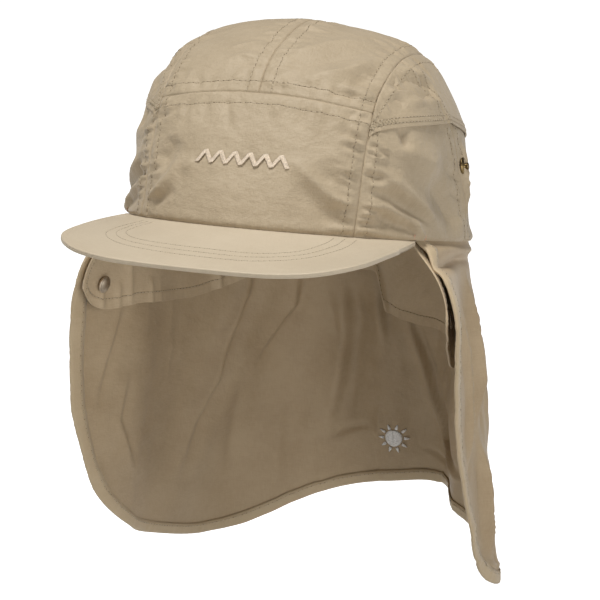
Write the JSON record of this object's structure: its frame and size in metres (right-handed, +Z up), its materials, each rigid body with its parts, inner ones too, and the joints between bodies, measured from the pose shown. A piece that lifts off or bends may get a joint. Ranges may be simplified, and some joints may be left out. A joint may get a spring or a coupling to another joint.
{
  "type": "legionnaire cap",
  "caption": "Sun cap with a strip-topped crown, a stiff peak, a long neck flap and an inner skirt with snap tabs, held as a head holds it.",
  "frame": {"origin": "centre of the crown's rim, where the cap sits on a head", "axes": "+Z up, -Y the way the wearer looks, +X the wearer's left; the rim leans back by 14.5 degrees"},
  "size_m": [0.2042, 0.2673, 0.3108],
  "materials": {
    "crown_cloth": "matt beige nylon",
    "peak_cloth": "matt beige nylon over a stiff board",
    "flap_cloth": "matt beige nylon",
    "binding_cloth": "folded beige nylon edge strip",
    "skirt_cloth": "matt beige nylon",
    "snap_metal": "dull grey brown metal",
    "stud_metal": "dull brass"
  },
  "bodies": {
    "root": {"crown_front_panel": "crown_cloth", "crown_top_left": "crown_cloth", "crown_top_right": "crown_cloth", "crown_side_front_left": "crown_cloth", "crown_side_front_right": "crown_cloth", "crown_side_rear_left": "crown_cloth", "crown_side_rear_right": "crown_cloth", "crown_yoke_left": "crown_cloth", "crown_yoke_right": "crown_cloth", "crown_back_panel": "crown_cloth", "peak": "peak_cloth", "neck_flap": "flap_cloth", "flap_binding": "binding_cloth", "inner_skirt": "skirt_cloth", "snap_cap_right": "snap_metal", "snap_cap_left": "snap_metal", "press_stud_left": "stud_metal", "press_stud_right": "stud_metal"}
  },
  "joints": []
}
